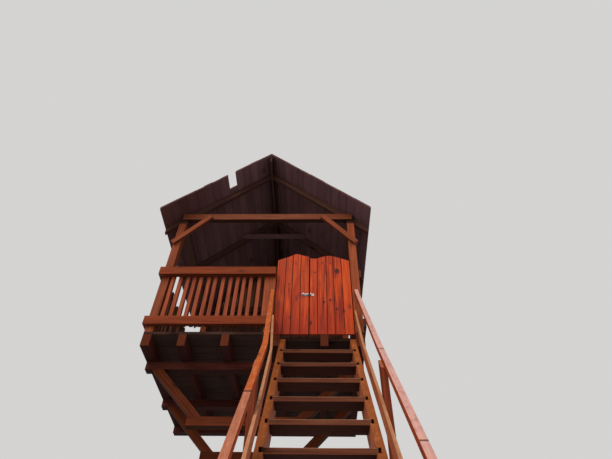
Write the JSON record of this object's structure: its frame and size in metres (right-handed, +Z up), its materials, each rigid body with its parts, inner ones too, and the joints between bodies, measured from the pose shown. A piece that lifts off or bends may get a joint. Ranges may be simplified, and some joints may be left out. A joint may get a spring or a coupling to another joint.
{
  "type": "tree house",
  "caption": "Open timber cabin on a braced platform, with a gabled boarded roof, slatted railings, a pair of bolted gates and a steep open stair with handrails.",
  "frame": {"origin": "middle of the back face of the front support beam, where the beam rests against its trunk", "axes": "+X to the right as one climbs the stair, +Y away from the stair towards the rear wall, +Z up"},
  "size_m": [2.722, 5.593, 7.5471],
  "materials": {
    "post_wood": "stained softwood, matt, posts and braces",
    "beam_wood": "stained softwood, matt, beams and joists",
    "deck_wood": "dark stained boards, matt",
    "roof_wood": "very dark stained roof boards, matt",
    "wall_wood": "dark stained wall boards, matt",
    "railing_wood": "red-brown stained softwood, satin",
    "gate_wood": "orange-red stained softwood with dark knots, satin",
    "stair_wood": "worn brown stained softwood, matt",
    "handrail_wood": "sun-bleached stained softwood, matt",
    "hinge_steel": "dark japanned steel, satin",
    "bolt_zinc": "zinc-plated steel, satin"
  },
  "bodies": {
    "frame": {"deck_floor": "deck_wood", "floor_joists": "beam_wood", "bearers": "beam_wood", "support_beams": "beam_wood", "knee_braces_front": "post_wood", "knee_braces_middle": "post_wood", "post_front_left": "post_wood", "post_front_right": "post_wood", "post_rear_left": "post_wood", "post_rear_right": "post_wood", "gate_post": "post_wood", "side_plates": "roof_wood", "tie_beam_front": "post_wood", "tie_beam_rear": "roof_wood", "corner_braces": "post_wood", "rafters": "roof_wood", "ridge_board": "roof_wood", "collar_tie": "roof_wood", "roof_left": "roof_wood", "roof_right": "roof_wood", "front_rails": "railing_wood", "front_balusters": "railing_wood", "left_railing": "railing_wood", "right_railing": "railing_wood", "rear_wall": "wall_wood", "stringer_left": "stair_wood", "stringer_right": "stair_wood", "treads": "stair_wood", "stair_posts": "post_wood", "handrail_left": "handrail_wood", "handrail_right": "handrail_wood", "mid_rails": "handrail_wood", "gate_hinge_plates": "hinge_steel"},
    "left_leaf": {"gate_left_boards": "gate_wood", "gate_left_ledges": "gate_wood", "gate_left_straps": "hinge_steel", "bolt_plate": "bolt_zinc"},
    "right_leaf": {"gate_right_boards": "gate_wood", "gate_right_ledges": "gate_wood", "gate_right_straps": "hinge_steel", "bolt_keeper": "bolt_zinc"},
    "bolt": {"bolt_rod": "bolt_zinc"}
  },
  "joints": [
    {"name": "left_leaf_hinge", "type": "hinge", "parent": "frame", "child": "left_leaf", "pos_m": [0.188, -0.292, 1.355], "axis": [0, 0, 1], "range_deg": [0, 88]},
    {"name": "right_leaf_hinge", "type": "hinge", "parent": "frame", "child": "right_leaf", "pos_m": [1.062, -0.292, 1.355], "axis": [0, 0, -1], "range_deg": [0, 88]},
    {"name": "bolt_slide", "type": "slide", "parent": "left_leaf", "child": "bolt", "axis": [1, 0, 0], "range_m": [0, 0.038]}
  ]
}
